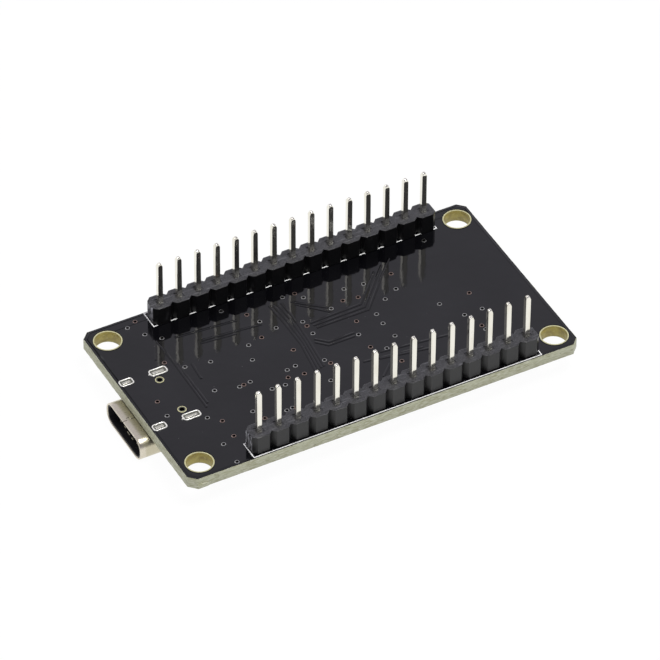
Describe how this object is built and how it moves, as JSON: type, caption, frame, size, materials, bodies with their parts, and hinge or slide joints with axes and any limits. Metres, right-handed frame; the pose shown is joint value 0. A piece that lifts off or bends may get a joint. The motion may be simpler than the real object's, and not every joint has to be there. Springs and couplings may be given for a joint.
{
  "type": "microcontroller dev board",
  "caption": "Small wireless microcontroller board with two rows of header pins, a USB-C receptacle, a shielded radio module and two buttons, lying solder side up.",
  "frame": {"origin": "centre of the board's solder side, on its surface", "axes": "+X along the board away from the USB end, +Y towards the back header row, +Z out of the solder side, the way the pins point"},
  "size_m": [0.0533, 0.0288, 0.0133],
  "materials": {
    "solder_mask": "glossy black solder mask over glass-fibre laminate",
    "header_plastic": "moulded black plastic, fine grain",
    "pin_metal": "brass with a bright pale plating",
    "usb_metal": "drawn steel with warm nickel plating",
    "black_insulator": "moulded black plastic",
    "steel": "stamped steel, satin",
    "module_mask": "satin black solder mask",
    "shield_metal": "tinned steel, satin",
    "chip_resin": "moulded epoxy with plated leads",
    "button_plastic": "moulded black plastic, slight shine",
    "led_resin": "translucent resin on a white base",
    "ceramic": "sintered ceramic with tinned ends",
    "resistor_film": "black glazed film with tinned ends"
  },
  "bodies": {
    "board": {"circuit_board": "solder_mask", "header_strip_front": "header_plastic", "header_strip_back": "header_plastic", "pin_front_01": "pin_metal", "pin_front_02": "pin_metal", "pin_front_03": "pin_metal", "pin_front_04": "pin_metal", "pin_front_05": "pin_metal", "pin_front_06": "pin_metal", "pin_front_07": "pin_metal", "pin_front_08": "pin_metal", "pin_front_09": "pin_metal", "pin_front_10": "pin_metal", "pin_front_11": "pin_metal", "pin_front_12": "pin_metal", "pin_front_13": "pin_metal", "pin_front_14": "pin_metal", "pin_front_15": "pin_metal", "pin_back_01": "pin_metal", "pin_back_02": "pin_metal", "pin_back_03": "pin_metal", "pin_back_04": "pin_metal", "pin_back_05": "pin_metal", "pin_back_06": "pin_metal", "pin_back_07": "pin_metal", "pin_back_08": "pin_metal", "pin_back_09": "pin_metal", "pin_back_10": "pin_metal", "pin_back_11": "pin_metal", "pin_back_12": "pin_metal", "pin_back_13": "pin_metal", "pin_back_14": "pin_metal", "pin_back_15": "pin_metal", "usb_shell": "usb_metal", "usb_insulator": "black_insulator", "usb_mid_plate": "steel", "module_board": "module_mask", "module_shield": "shield_metal", "module_processor": "chip_resin", "module_flash": "chip_resin", "module_crystal": "steel", "reset_button_base": "black_insulator", "reset_button_dome": "steel", "reset_button_cover": "steel", "boot_button_base": "black_insulator", "boot_button_dome": "steel", "boot_button_cover": "steel", "usb_serial_chip": "chip_resin", "voltage_regulator": "chip_resin", "input_diode": "chip_resin", "reset_transistor_1": "chip_resin", "reset_transistor_2": "chip_resin", "power_led": "led_resin", "user_led": "led_resin", "supply_capacitor_1": "ceramic", "supply_capacitor_2": "ceramic", "led_resistor_1": "resistor_film", "led_resistor_2": "resistor_film"},
    "reset_plunger": {"reset_button_plunger": "button_plastic"},
    "boot_plunger": {"boot_button_plunger": "button_plastic"}
  },
  "joints": [
    {"name": "reset_press", "type": "slide", "parent": "board", "child": "reset_plunger", "axis": [0, 0, 1], "range_m": [0, 0.00025], "stiffness_N_per_m": 4000, "springref_m": -0.0001, "deforming": ["reset_button_dome"]},
    {"name": "boot_press", "type": "slide", "parent": "board", "child": "boot_plunger", "axis": [0, 0, 1], "range_m": [0, 0.00025], "stiffness_N_per_m": 4000, "springref_m": -0.0001, "deforming": ["boot_button_dome"]}
  ]
}
